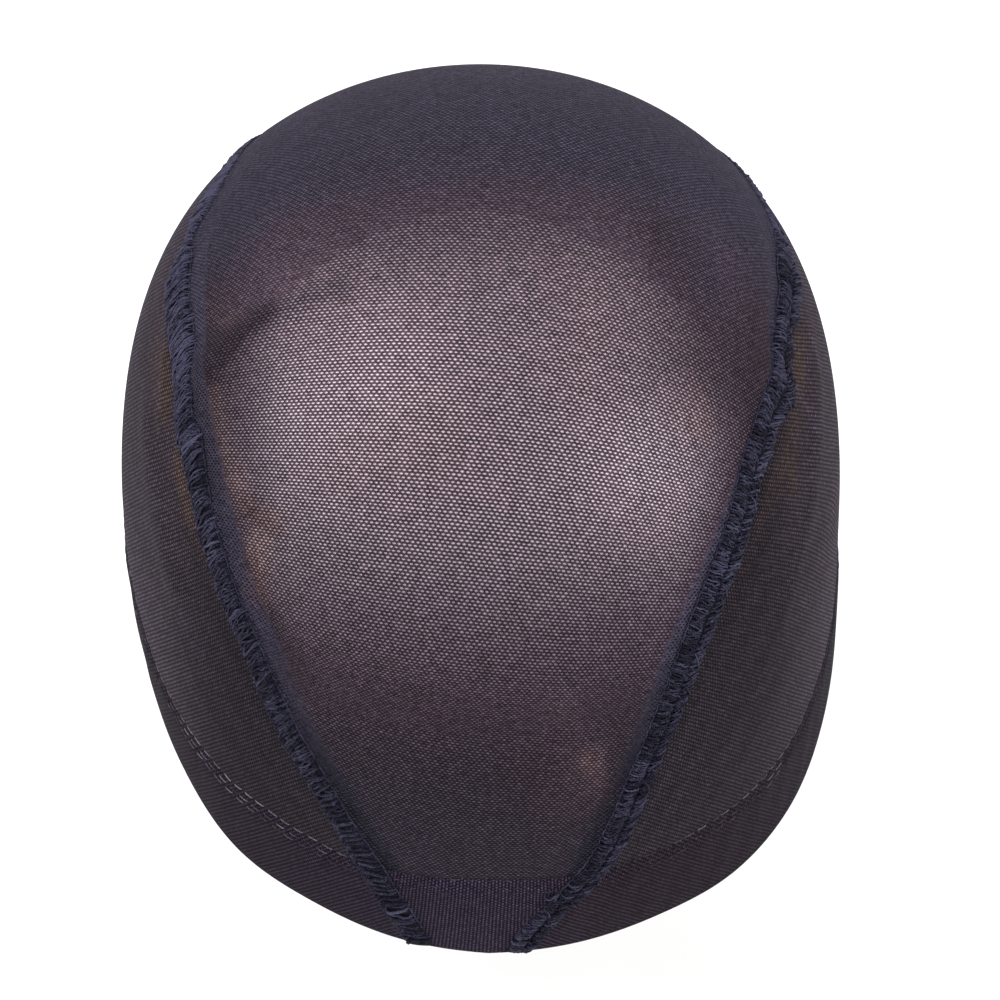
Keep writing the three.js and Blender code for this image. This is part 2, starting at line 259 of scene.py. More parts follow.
def hem_rise(turn, share):
    low = hem_edge_rise(turn)
    return low + (band_top_rise(turn) - low) * share


def hem_level(d):
    """Share of the way from the hem's lower edge to its top line, past 1 above it."""
    turn = turn_of(d)
    low = hem_edge_rise(turn)
    return (rise_of(d) - low) / (band_top_rise(turn) - low)


def seam_spread(side_share, station):
    left = spread_left(station)
    right = -spread_right(station)
    return right + (left - right) * (side_share + 1) / 2


def meet_hem(spread_at, hem_share, at_back):
    """Station where a line of spreads meets a hem level, at the back or the front."""
    above, below = (60.0, 139.0) if at_back else (-40.0, -99.0)
    for _ in range(40):
        middle = (above + below) / 2
        d = station_dir(middle, spread_at(middle))
        high = rise_of(d) > hem_rise(turn_of(d), hem_share)
        above = np.where(high, middle, above)
        below = np.where(high, below, middle)
    return (above + below) / 2


# Net lattice, as columns along its rows and rows across them

VIEW_AXIS = np.array([0, 0.857, 0.515])
NET_TILT = 7.0
COLUMN_STEP = 0.764
ROW_STEP = 0.482


def turned(vectors, axis, angle):
    c = math.cos(math.radians(angle))
    s = math.sin(math.radians(angle))
    along = (vectors @ axis)[..., None] * axis
    return vectors * c + np.cross(axis, vectors) * s + along * (1 - c)


def crown_lattice(d):
    tilted = turned(d, VIEW_AXIS, NET_TILT)
    station = np.degrees(np.arctan2(tilted[..., 1], tilted[..., 2])) - 60
    spread = np.degrees(np.arcsin(np.clip(tilted[..., 0], -1, 1)))
    near = np.clip(station, -45, 45)
    rows = near * (1 + 0.05 * (near / 45) ** 2) + (station - near) * 1.15
    rows = rows + 0.4 * np.maximum(station - 18, 0) * smooth((station - 18) / 14) - 0.0016 * spread**2
    return np.stack([spread / COLUMN_STEP, rows / ROW_STEP], axis=-1)


SIDE_ROW_STEP = 0.8
SIDE_COLUMN_STEP = 0.8
SIDE_RADIUS = 80


def side_lattice(d, side):
    """Rows lie in planes that cross the seam square, columns run round their normal."""
    axis = unit(np.array([-0.29, 0.49, -0.82]) if side == "left" else np.array([0.25, 0.5, -0.83]))
    centred = form_point(d) + np.array([0, 0, CROWN_HEIGHT])
    rows = centred @ axis
    station = np.degrees(np.arctan2(d[..., 1], d[..., 2]))
    if side == "left":
        rows = rows - 0.08 * centred[..., 0]
    else:
        rows = rows + (centred[..., 0] + 62) * (0.3 * smooth((station - 55) / 45) - 0.14)
    rows = rows / SIDE_ROW_STEP
    first = unit(np.cross(axis, np.array([0.0, 1, 0])))
    second = np.cross(axis, first)
    around = np.arctan2(centred @ second, centred @ first)
    return np.stack([around * SIDE_RADIUS / SIDE_COLUMN_STEP, rows], axis=-1)


# Meshes


def make_object(name, points, faces, weave, values, material):
    """Object from points in millimetres, with its lattice as a UV map and point values."""
    mesh = bpy.data.meshes.new(name)
    mesh.from_pydata((points * MM).tolist(), [], faces.tolist() if hasattr(faces, "tolist") else faces)
    mesh.polygons.foreach_set("use_smooth", np.ones(len(mesh.polygons), bool))
    corner_points = np.empty(len(mesh.loops), int)
    mesh.loops.foreach_get("vertex_index", corner_points)
    layer = mesh.uv_layers.new(name="Weave")
    layer.data.foreach_set("uv", weave[corner_points].astype(np.float32).ravel())
    for key, value in values.items():
        attribute = mesh.attributes.new(key, "FLOAT", "POINT")
        attribute.data.foreach_set("value", value.astype(np.float32))
    mesh.materials.append(material)
    mesh.update()
    piece = bpy.data.objects.new(name, mesh)
    bpy.context.scene.collection.objects.link(piece)
    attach(piece, "root")
    return piece


def shell_faces(rows, columns):
    """Faces of a closed sheet from two grids of points, outside then inside."""
    out = np.arange(rows * columns).reshape(rows, columns)
    back = out + rows * columns

    def quads(a, b, c, d):
        return np.stack([a.ravel(), b.ravel(), c.ravel(), d.ravel()], axis=1)

    return np.concatenate([
        quads(out[:-1, :-1], out[1:, :-1], out[1:, 1:], out[:-1, 1:]),
        quads(back[:-1, :-1], back[:-1, 1:], back[1:, 1:], back[1:, :-1]),
        quads(out[:-1, 0], back[:-1, 0], back[1:, 0], out[1:, 0]),
        quads(out[:-1, -1], out[1:, -1], back[1:, -1], back[:-1, -1]),
        quads(out[0, :-1], out[0, 1:], back[0, 1:], back[0, :-1]),
        quads(out[-1, :-1], back[-1, :-1], back[-1, 1:], out[-1, 1:]),
    ])


def outward(points, faces):
    """The faces, turned round if they point into the solid."""
    a, b, c, d = (points[faces[:, k]] for k in range(4))
    volume = (a * (np.cross(b, c) + np.cross(c, d))).sum()
    return faces if volume > 0 else faces[:, ::-1]


def sheet_object(name, directions, out_height, in_height, lattice, values, material):
    """Closed sheet between two heights above the dome, over a grid of directions."""
    base = form_point(directions)
    normal = form_normal(directions)
    lift = fold_lift(base)
    outer = base + normal * (out_height + lift)[..., None]
    inner = base + normal * (in_height + lift)[..., None]
    points = np.concatenate([outer.reshape(-1, 3), inner.reshape(-1, 3)])
    faces = outward(points, shell_faces(*directions.shape[:2]))
    weave = np.tile(lattice.reshape(-1, 2), (2, 1))
    doubled = {key: np.tile(value.ravel(), 2) for key, value in values.items()}
    return make_object(name, points, faces, weave, doubled, material)


def tube_object(name, paths, normals, radii, sides, shade, material):
    """Threads as round tubes. paths and normals are (threads, points, 3), radii (threads, points)."""
    threads, count = paths.shape[:2]
    tangent = unit(np.gradient(paths, axis=1))
    side = unit(np.cross(tangent, normals))
    up = np.cross(side, tangent)
    angle = np.arange(sides) * 2 * np.pi / sides
    ring = side[:, :, None] * np.cos(angle)[:, None] + up[:, :, None] * np.sin(angle)[:, None]
    points = paths[:, :, None] + ring * radii[:, :, None, None]
    index = np.arange(threads * count * sides).reshape(threads, count, sides)
    following = np.roll(index, -1, axis=2)
    quads = np.stack([index[:, :-1], following[:, :-1], following[:, 1:], index[:, 1:]], axis=-1)
    faces = quads.reshape(-1, 4).tolist()
    faces += index[:, 0, ::-1].tolist()
    faces += index[:, -1].tolist()
    step = np.linalg.norm(np.diff(paths, axis=1), axis=-1)
    along = np.concatenate([np.zeros((threads, 1)), np.cumsum(step, axis=1)], axis=1)
    weave = np.stack(
        np.broadcast_arrays(along[:, :, None], (np.arange(sides) / sides)[None, None]), axis=-1
    )
    values = {"shade": np.broadcast_to(shade[:, None, None], (threads, count, sides)).ravel()}
    return make_object(name, points.reshape(-1, 3), faces, weave.reshape(-1, 2), values, material)


# Materials


class Nodes:
    """A material's node tree, with short calls for its nodes."""

    def __init__(self, name):
        self.material = bpy.data.materials.new(name)
        self.material.use_nodes = True
        self.tree = self.material.node_tree
        self.shader = self.tree.nodes["Principled BSDF"]

    def put(self, socket, value):
        if isinstance(value, bpy.types.NodeSocket):
            self.tree.links.new(value, socket)
        elif value is not None:
            socket.default_value = value

    def add(self, kind, inputs=(), **settings):
        node = self.tree.nodes.new("ShaderNode" + kind)
        for key, value in settings.items():
            setattr(node, key, value)
        for key, value in dict(inputs).items():
            self.put(node.inputs[key], value)
        return node

    def math(self, operation, a, b=None, c=None):
        node = self.add("Math", operation=operation)
        for socket, value in zip(node.inputs, (a, b, c)):
            self.put(socket, value)
        return node.outputs[0]

    def ramp(self, value, low, high, to_low=0.0, to_high=1.0):
        node = self.add("MapRange", interpolation_type="SMOOTHSTEP")
        for socket, number in zip(node.inputs, (value, low, high, to_low, to_high)):
            self.put(socket, number)
        return node.outputs[0]

    def mix(self, share, a, b):
        node = self.add("Mix", data_type="RGBA")
        self.put(node.inputs[0], share)
        self.put(node.inputs[6], a)
        self.put(node.inputs[7], b)
        return node.outputs[2]

    def noise(self, vector, scale, detail=2.0, roughness=0.5):
        sizes = {"Vector": vector, "Scale": scale, "Detail": detail, "Roughness": roughness}
        return self.add("TexNoise", sizes).outputs[0]

    def value(self, name):
        return self.add("Attribute", attribute_name=name).outputs["Fac"]

    def weave(self):
        return self.add("UVMap", uv_map="Weave").outputs[0]

    def bump(self, height, distance, strength):
        inputs = {"Height": height, "Distance": distance, "Strength": strength}
        return self.add("Bump", inputs).outputs[0]

    def finish(self, colour, roughness, normal, alpha=None, sheen=0.0, sheen_tint=(1, 1, 1, 1)):
        self.put(self.shader.inputs["Base Color"], colour)
        self.put(self.shader.inputs["Roughness"], roughness)
        self.put(self.shader.inputs["Normal"], normal)
        self.put(self.shader.inputs["Alpha"], alpha)
        self.shader.inputs["Specular IOR Level"].default_value = 0.04
        self.shader.inputs["Sheen Weight"].default_value = sheen
        self.shader.inputs["Sheen Roughness"].default_value = 0.45
        self.shader.inputs["Sheen Tint"].default_value = sheen_tint
        return self.material


def net_material(name, colours, rib, hole_size, sheen):
    """Staggered lens-shaped holes between yarns, filled with thin fuzz where they are closed.

    colours are yarn, bluish yarn and warm yarn, and the fuzz of the holes is a lighter share, painted light
    as if seen through the holes.
    """
    n = Nodes(name)
    place = n.add("TexCoord").outputs["Object"]
    wander = n.noise(place, 260.0, 2.0)
    split = n.add("SeparateXYZ", {0: n.weave()})
    wobble = n.math("MULTIPLY_ADD", wander, 0.24, -0.12)
    u = n.math("ADD", split.outputs[0], wobble)
    v = n.math("ADD", split.outputs[1], wobble)
    row = n.math("FLOOR", v)
    q = n.math("SUBTRACT", n.math("SUBTRACT", v, row), 0.5)
    shifted = n.math("MULTIPLY_ADD", n.math("FLOORED_MODULO", row, 2.0), 0.5, u)
    column = n.math("FLOOR", shifted)
    p = n.math("SUBTRACT", n.math("SUBTRACT", shifted, column), 0.5)
    cell = n.add("CombineXYZ", {0: column, 1: row})
    chance = n.add("TexWhiteNoise", {"Vector": cell.outputs[0]}, noise_dimensions="2D").outputs[0]
    across = n.math("DIVIDE", n.math("ABSOLUTE", q), hole_size[1])
    along = n.math("POWER", n.math("DIVIDE", n.math("ABSOLUTE", p), hole_size[0]), 2.0)
    lens = n.math("ADD", across, along)
    fibre = n.noise(place, 5200.0, 3.0, 0.6)
    fuzzy = n.math("MULTIPLY_ADD", fibre, 0.4, n.math("SUBTRACT", lens, 0.2))
    open_share = n.value("open")
    size = n.math("MULTIPLY", open_share, n.math("MULTIPLY_ADD", chance, 0.16, 0.92))
    opening = n.math("DIVIDE", fuzzy, n.math("MAXIMUM", size, 0.02))
    clear = n.value("clear")
    cover = n.math("SUBTRACT", 1.0, clear)
    alpha = n.math("MULTIPLY_ADD", n.ramp(opening, 0.2, 1.4), clear, cover)
    hollow = n.ramp(lens, 0.55, 1.35, 1.0, 0.0)
    yarn = n.math("SUBTRACT", 1.0, hollow)
    twist = n.math("SINE", n.math("MULTIPLY", n.math("MULTIPLY_ADD", v, 0.9, u), 18.85))
    rows = n.math("COSINE", n.math("MULTIPLY", v, 6.2832))
    patch = n.noise(place, 34.0, 3.0, 0.6)
    plain, bluish, warm = colours
    tint = n.math("ADD", n.value("tint"), n.math("MULTIPLY_ADD", patch, 0.7, -0.35))
    thread = n.mix(n.ramp(tint, 0.0, 1.0), plain, bluish)
    thread = n.mix(n.ramp(tint, -0.15, -1.0), thread, warm)
    grain = n.noise(place, 1500.0, 1.0)
    spots = n.math("MULTIPLY_ADD", grain, 1.6, 0.2)
    light = n.math("MULTIPLY", n.math("MULTIPLY_ADD", fibre, 1.1, 0.45), spots)
    light = n.math("MULTIPLY", light, n.math("MULTIPLY_ADD", chance, 0.5, 0.75))
    light = n.math("MULTIPLY", light, n.math("MULTIPLY_ADD", twist, 0.15, 1.0))
    ribs = n.math("MULTIPLY", n.math("MULTIPLY", rows, n.value("rib")), -rib)
    light = n.math("MULTIPLY", light, n.math("ADD", ribs, 1.0))
    pit = n.value("pit")
    # The fuzz of the holes is painted light, brighter where the net is clearer, as light seen through the
    # holes. In the pits the holes are painted dark as shade, and the yarn between them lighter.
    fuzz = n.math("MULTIPLY", hollow, n.math("MULTIPLY_ADD", clear, 2.8, 1.5))
    fuzz = n.math("MULTIPLY", fuzz, n.math("SUBTRACT", 1.0, pit))
    fuzz = n.math("ADD", fuzz, n.math("MULTIPLY", n.math("MULTIPLY", yarn, pit), 1.9))
    # The yarn is painted lighter where the net is clearer, as thin yarn with light behind it.
    body = n.math("MULTIPLY_ADD", clear, 0.85, 0.33)
    body = n.math("MULTIPLY_ADD", pit, -0.22, body)
    light = n.math("MULTIPLY", light, n.math("ADD", fuzz, body))
    # The light value is a brightness factor given per point by each panel; on the crown and side panels it
    # holds painted light and shade.
    light = n.math("MULTIPLY", light, n.value("light"))
    scale = n.add("CombineXYZ", {0: light, 1: light, 2: light})
    lit = n.add("VectorMath", {0: thread, 1: scale.outputs[0]}, operation="MULTIPLY")
    height = n.math("MULTIPLY_ADD", twist, 0.1, n.math("MULTIPLY_ADD", fibre, 0.4, yarn))
    height = n.math("MULTIPLY_ADD", ribs, 0.6, height)
    normal = n.bump(height, 0.0002, 0.9)
    roughness = n.ramp(fibre, 0.2, 0.9, 0.68, 0.92)
    return n.finish(lit.outputs[0], roughness, normal, alpha, sheen, (0.75, 0.72, 0.85, 1))


def thread_material(name, dark, light, twists, sheen):
    """Twisted thread. The weave map holds the length along it and the share of the way round."""
    n = Nodes(name)
    split = n.add("SeparateXYZ", {0: n.weave()})
    turns = n.math("MULTIPLY_ADD", split.outputs[0], twists, split.outputs[1])
    strand = n.math("SINE", n.math("MULTIPLY", turns, 12.566))
    place = n.add("TexCoord").outputs["Object"]
    stretched = n.add("CombineXYZ", {0: n.math("MULTIPLY", split.outputs[0], 0.5), 1: turns})
    streak = n.noise(stretched.outputs[0], 7.0, 3.0, 0.6)
    fibre = n.noise(place, 2900.0, 3.0, 0.7)
    clump = n.noise(place, 620.0, 3.0, 0.6)
    share = n.math("MULTIPLY_ADD", strand, 0.08, n.math("MULTIPLY_ADD", fibre, 1.6, -0.6))
    share = n.math("ADD", share, n.math("MULTIPLY_ADD", streak, 0.6, -0.3))
    share = n.math("ADD", share, n.math("MULTIPLY_ADD", clump, 1.0, -0.5))
    share = n.math("ADD", share, n.math("MULTIPLY_ADD", n.value("shade"), 0.8, -0.25))
    colour = n.mix(n.ramp(share, -0.1, 0.95), dark, light)
    grain = n.math("MULTIPLY_ADD", streak, 0.5, n.math("MULTIPLY", fibre, 1.8))
    height = n.math("MULTIPLY_ADD", strand, 0.15, grain)
    normal = n.bump(height, 0.00022, 0.9)
    roughness = n.ramp(clump, 0.2, 0.8, 0.6, 0.85)
    return n.finish(colour, roughness, normal, None, sheen, (0.7, 0.7, 0.95, 1))


HOLE = (0.4, 0.34)
CROWN_LOOK = net_material(
    "crown_net",
    ((0.0448, 0.0306, 0.0435, 1), (0.037, 0.0325, 0.053, 1), (0.064, 0.038, 0.041, 1)),
    0.1,
    HOLE,
    0.02,
)
SIDE_LOOK = net_material(
    "side_net",
    ((0.034, 0.0245, 0.033, 1), (0.033, 0.027, 0.047, 1), (0.046, 0.03, 0.028, 1)),
    0.17,
    HOLE,
    0.02,
)
HEM_LOOK = net_material(
    "hem_cloth",
    ((0.0195, 0.0118, 0.0185, 1), (0.018, 0.0125, 0.025, 1), (0.021, 0.0135, 0.0145, 1)),
    0.1,
    (0.4, 0.3),
    0.015,
)
SEAM_LOOK = thread_material("seam_thread", (0.0045, 0.0043, 0.0095, 1), (0.078, 0.073, 0.128, 1), 0.7, 0.06)
CORE_LOOK = thread_material("seam_core", (0.005, 0.0048, 0.009, 1), (0.02, 0.019, 0.033, 1), 0.7, 0.0)
STITCH_LOOK = thread_material("stitch_thread", (0.015, 0.013, 0.02, 1), (0.26, 0.24, 0.28, 1), 1.6, 0.1)


# Panels

CROWN_ROWS = 280
CROWN_COLUMNS = 130
SIDE_ROWS = 190
SIDE_COLUMNS = 64
BAND_COLUMNS = 260

# Soft patches of the net: station, spread, to station, spread, reach, change of clearness, tint
PATCHES = [
    (35, 43, 30.5, 30, 3.2, -0.3, 0.45),
    (30.5, 30, 29, 18, 2.8, -0.12, 0.2),
    (72, 38, 84, 33, 5, -0.2, 0.0),
    (26, -34, 40, -38, 8, -0.1, 0.4),
    (20, -27, 38, -31, 9, -0.2, 0.3),
    (44, 22, 40, 14, 17, 0.2, 0.0),
    (56, -27, 54, -22, 13, 0.18, 0.0),
    (42, 41, 56, 38, 4.5, 0.1, -0.75),
    (66, 35, 74, 36, 4.0, 0.1, -0.7),
    (62, 31, 60, 36, 3.0, -0.1, -0.4),
    (30, 36, 24, 40, 4.0, 0.05, -0.5),
    (95, -16, 107, -21, 4, 0.14, -0.6),
    (88, -12, 100, -12, 7, 0.06, -0.4),
    (36, -30, 46, -33, 7, 0.0, -0.4),
]
# Streaks of the side panels, in the same order, with the change of light for that of clearness: painted
# highlights and shade along their folds
SIDE_PATCHES = [
    (10, 50.5, 38, 54.5, 1.5, 0.22, 0.4),
    (28, 52.5, 39, 52, 3.0, 0.0, -0.6),
    (50, 50, 62, 49, 2.6, 0.1, -0.8),
    (42, 50, 46, 52, 3.0, 0.0, 0.6),
    (16, -54, 25, -61, 1.4, 0.3, 0.6),
    (26, -54, 34, -54, 3.2, 0.0, -0.45),
    (37, -55, 44, -61, 1.3, 0.25, 0.5),
    (40, -53, 47, -52, 2.6, 0.0, -0.3),
    (56, -54, 74, -56, 3.5, 0.06, -0.5),
]


def patch_values(points, rows):
    """Change of clearness or light, and of tint, near the soft lines of a table."""
    change = np.zeros(points.shape[:-1])
    tint = np.zeros(points.shape[:-1])
    for s0, a0, s1, a1, reach, amount, colour in rows:
        near = np.exp(-((line_distance(points, (s0, a0), (s1, a1)) / reach) ** 2))
        change += amount * near
        tint += colour * near
    return change, tint


def crown_net():
    shares = np.linspace(-1, 1, CROWN_COLUMNS + 1)
    shares = np.sign(shares) * (1 - (1 - np.abs(shares)) ** 1.25)
    ends = [meet_hem(lambda st: seam_spread(shares, st), 1.0, back) for back in (False, True)]
    t = np.linspace(0, 1, CROWN_ROWS + 1)[:, None]
    station = ends[0] + (ends[1] - ends[0]) * t
    share = np.broadcast_to(shares, station.shape)
    directions = station_dir(station, seam_spread(share, station))
    base = form_point(directions)
    half = (spread_left(station) + spread_right(station)) / 2
    edge = (1 - np.abs(share)) * np.radians(half) * MEAN_RADIUS
    groove = 0.3 * np.exp(-(((edge - 2.9) / 0.9) ** 2))
    across = share * half
    wide = smooth((44 - np.abs(across + 1)) / 16)
    middle = smooth((station - 4) / 30) * smooth((93 - station) / 36) * wide
    opening = smooth((100 - station) / 20) * smooth((station + 60) / 20) * smooth((edge - 6.0) / 3.5)
    change, tint = patch_values(base, PATCHES)
    clear = np.clip(0.14 + 0.38 * middle + change * smooth((edge - 4) / 6), 0.02, 0.85)
    front = smooth((-8 - station) / 30)
    upper_left = np.exp(-(((station - 24) / 15) ** 2)) * (across > 0)
    reach = np.where(across > 0, 8.6, 7.2) + 2.2 * upper_left
    strip = smooth((reach - edge) / (1.3 + 4.5 * smooth((station - 78) / 18)))
    tint = tint + 0.05 + 0.8 * smooth((26 - station) / 24) + 0.35 * smooth((station - 84) / 20)
    upper_sides = 0.25 * smooth((np.abs(across) - 22) / 12) * smooth((36 - station) / 16)
    tint = tint + 1.1 * strip - 0.5 * middle + upper_sides
    # Painted light and shade, as a factor on the yarn's colour: darker toward the nape, lighter over the
    # top and along the upper sides.
    light = 0.47 + 0.16 * smooth((97 - station) / 12) + 0.08 * smooth((30 - station) / 34)
    light = light + 0.08 * np.exp(-(((station - 87) / 8) ** 2))
    light = light + 0.08 * smooth((np.abs(across) - 16) / 14) * smooth((38 - station) / 14)
    # Painted light: the yarn is lighter where the net is clearer, as with light behind it.
    light = light + 1.5 * np.maximum(clear - 0.16, 0)
    light = light - 0.1 * front
    clear = clear + 0.35 * front
    # Painted shade: the compressed strip beside each seam ridge is darker, and its holes are painted as
    # dark pits.
    light = light * (1 - (0.38 + 0.08 * smooth((station - 78) / 16)) * strip)
    pit = 0.97 * strip * smooth((104 - station) / 14)
    light = light * (1 + (0.25 + 0.3 * upper_left) * pit)
    values = {"open": opening, "clear": clear, "tint": np.clip(tint, -1, 1), "light": light, "pit": pit}
    values["rib"] = np.ones_like(light)
    heights = (NET_OUTSIDE - groove, NET_INSIDE - groove * 0.6)
    piece = sheet_object("crown_net", directions, *heights, crown_lattice(directions), values, CROWN_LOOK)
    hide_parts("crown_panel")
    return piece


def side_spread(side):
    return spread_left if side == "left" else lambda station: -spread_right(station)


def side_net(side):
    spread_at = side_spread(side)
    sign = 1 if side == "left" else -1
    front, rear = (meet_hem(spread_at, 1.0, back) for back in (False, True))
    t = np.linspace(0.0015, 0.9985, SIDE_ROWS + 1)[:, None]
    s = np.linspace(0, 1, SIDE_COLUMNS + 1)[None, :]
    station = front + (rear - front) * t
    top = station_dir(station, spread_at(station))
    ends = [turn_of(station_dir(x, spread_at(x))) * sign for x in (front, rear)]
    turn = (ends[0] + (ends[1] - ends[0]) * t) * sign
    foot = turn_dir(turn, hem_rise(turn, 1.0))
    directions = unit(top * (1 - s[..., None]) + foot * s[..., None])
    width = np.linalg.norm(form_point(foot) - form_point(top), axis=-1)
    edge = width * s
    groove = 0.25 * np.exp(-(((edge - 2.8) / 1.0) ** 2))
    opening = 0.3 * smooth((edge - 3.5) / 6) * smooth((width * (1 - s) + 2) / 8)
    inner = np.exp(-(((edge - 9) / 9) ** 2))
    tint = 0.3 + 0.4 * smooth((20 - station) / 40) - 0.85 * inner * smooth((84 - station) / 30)
    tint = tint * smooth((station + 10) / 30) + 0.5 * smooth((20 - station) / 30)
    # Painted light and shade, as a factor on the yarn's colour: darker toward the nape and in a band round
    # dip_at, darker in the groove beside the seam, lighter toward the top and along the outer part of the
    # upper panel.
    low = smooth((station - 44) / 46)
    fall = 0.36 if side == "left" else 0.33
    light = 0.76 - fall * low - 0.14 * np.exp(-(((edge - 2.8) / 1.2) ** 2))
    light = light + 0.2 * (1 - low) * smooth((edge - 34) / 30)
    light = light + 0.04 * np.sin(edge * 0.55 + station * 0.05)
    dip, dip_at = (0.18, 68) if side == "left" else (0.31, 57)
    light = light - dip * np.exp(-(((station - dip_at) / 20) ** 2))
    light = light + 0.12 * smooth((16 - station) / 20)
    # Painted highlights and shade along the folds of the panel.
    painted_fold_light, streak_tint = patch_values(form_point(directions), SIDE_PATCHES)
    light = light + painted_fold_light
    tint = np.clip(tint + streak_tint, -1, 1)
    rib = 0.4 + 0.9 * smooth((edge - 10) / 16)
    pit = 0 * edge
    values = {"open": opening, "clear": pit + 0.25, "tint": tint, "light": light, "rib": rib, "pit": pit}
    heights = (NET_OUTSIDE - groove, NET_INSIDE - groove * 0.6)
    lattice = side_lattice(directions, side)
    piece = sheet_object(side + "_side_net", directions, *heights, lattice, values, SIDE_LOOK)
    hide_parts(side + "_side_panel")
    return piece


# Hem, folded to the inside and held by three rows of stitches

STITCH_ROWS = (0.99, 0.912, 0.855)
PINCH_WIDTH = 0.45
BAND_LEVELS = np.concatenate([
    np.array([0, 0.12, 0.35, 0.7, 1.1, 1.6]) / HEM_WIDTH,
    np.linspace(0.1, 0.84, 16),
    np.linspace(0.86, 1.0, 15),
])


def cloth_top(level):
    """Height of the cloth's outside, which rises from the net to the doubled hem."""
    return NET_OUTSIDE + (BAND_OUTSIDE - NET_OUTSIDE) * smooth((1.0 - level) / BAND_SLOPE)


def band_heights(level, turn):
    """Outside and inside height of the folded hem, pinched at its stitches."""
    from_edge = level * HEM_WIDTH
    fold = np.sqrt(1 - (1 - np.clip(from_edge / 0.9, 0, 1)) ** 2)
    pinch = sum(np.exp(-(((level - row) * HEM_WIDTH / PINCH_WIDTH) ** 2)) for row in STITCH_ROWS)
    ripple = 0.08 * np.sin(turn * 0.9 + 4 * level) * smooth(level * 4) * smooth((1 - level) * 6)
    middle = (BAND_INSIDE + BAND_OUTSIDE) / 2
    outside = cloth_top(level) - 0.12 * pinch * smooth((1.0 - level) / 0.01) + ripple
    return middle + (outside - middle) * fold, middle + (BAND_INSIDE - middle) * fold


def band_values(level, turn):
    above = smooth((level - 0.84) / 0.05)
    tint = 0.35 + 0.25 * np.sin(np.radians(turn * 3.1)) + 0 * level
    light = 0.95 + 0.15 * above - 0.12 * smooth(1 - level * 12)
    near_nape = np.exp(-((turn / 16) ** 2))
    light = light * (1 + 0.4 * near_nape)
    tint = tint + 0.5 * near_nape
    rib = 0.6 + 1.9 * near_nape
    none = 0 * level
    return {"open": none, "clear": none, "tint": tint, "light": light, "rib": rib + none, "pit": none}


def band_object(name, directions, lattice, node):
    level = np.broadcast_to(BAND_LEVELS[:, None], directions.shape[:2])
    turn = turn_of(directions)
    heights = band_heights(level, turn)
    piece = sheet_object(name, directions, *heights, lattice, band_values(level, turn), HEM_LOOK)
    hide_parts(node)
    return piece


def crown_hem(name, node, at_back):
    shares = np.linspace(-1, 1, 61 if at_back else 121)
    rows = []
    for level in BAND_LEVELS:
        station = meet_hem(lambda st: seam_spread(shares, st), level, at_back)
        rows.append(station_dir(station, seam_spread(shares, station)))
    directions = np.array(rows)
    lattice = crown_lattice(directions)
    if at_back:
        lattice = lattice[..., ::-1] * np.array([0.7, 1.5])
    return band_object(name, directions, lattice, node)


def side_hem(side):
    spread_at = side_spread(side)
    sign = 1 if side == "left" else -1
    rows = []
    for level in BAND_LEVELS:
        stations = [meet_hem(spread_at, level, back) for back in (False, True)]
        ends = [turn_of(station_dir(x, spread_at(x))) * sign for x in stations]
        turn = np.linspace(ends[0], ends[1], BAND_COLUMNS + 1) * sign
        rows.append(turn_dir(turn, hem_rise(turn, level)))
    directions = np.array(rows)
    lattice = side_lattice(directions, side)
    return band_object(side + "_hem", directions, lattice, side + "_hem_band")


# Overlocked seams


# Course of a seam's threads: station, middle and half width across, change of shade. The change of shade is
# painted light and shade: lighter near the crown, darker toward the nape.
LEFT_COURSE = [
    (-100, 0.3, 2.6, 0.1),
    (-30, 0.6, 2.5, 0.1),
    (-12, 1.4, 2.4, 0.35),
    (-1, 1.9, 3.1, 0.4),
    (4, 1.2, 1.2, 0.4),
    (9, 1.2, 3.6, 0.3),
    (14, 0.5, 4.1, 0.2),
    (22, -1.0, 3.9, 0.12),
    (31, -1.9, 4.0, 0.25),
    (38, -0.4, 3.1, 0.15),
    (44, 1.4, 3.2, 0),
    (48, 0.8, 3.6, 0.05),
    (56, 0.8, 2.9, -0.1),
    (63, 1.3, 2.9, -0.12),
    (76, 0.9, 2.7, -0.15),
    (90, 1.5, 2.9, -0.22),
    (97, 2.2, 2.9, -0.3),
    (103, 2.0, 2.6, -0.3),
    (109, 1.9, 2.8, -0.28),
    (118, 1.2, 2.9, -0.25),
    (140, 0.4, 2.6, -0.1),
]
RIGHT_COURSE = [
    (-100, 0, 2.2, 0),
    (-30, 0.2, 1.8, 0.05),
    (-10, 1.2, 1.8, 0.1),
    (-3, 2.3, 2.6, 0.1),
    (3, 2.3, 3.5, 0),
    (8, 2.2, 4.7, -0.2),
    (12, 1.3, 4.6, -0.25),
    (16, 1.2, 3.8, -0.05),
    (22, 0.2, 3.6, -0.2),
    (25.5, -1.0, 2.6, -0.1),
    (29, -0.9, 3.9, -0.1),
    (34, -2.3, 3.2, -0.1),
    (38, -0.9, 4.7, -0.15),
    (42, -1.8, 4.4, -0.15),
    (47, -2.6, 3.4, -0.1),
    (52, -1.9, 4.0, -0.1),
    (57, -2.1, 3.4, -0.15),
    (62, -0.5, 3.6, -0.1),
    (70, 0.6, 3.5, -0.1),
    (82, 1.4, 3.5, -0.22),
    (93, 2.1, 3.3, -0.28),
    (101, 2.5, 3.2, -0.28),
    (110, 2.4, 3.2, -0.28),
    (116, 1.5, 3.1, -0.2),
    (127, 0.3, 2.8, -0.2),
    (140, 0, 2.6, -0.2),
]


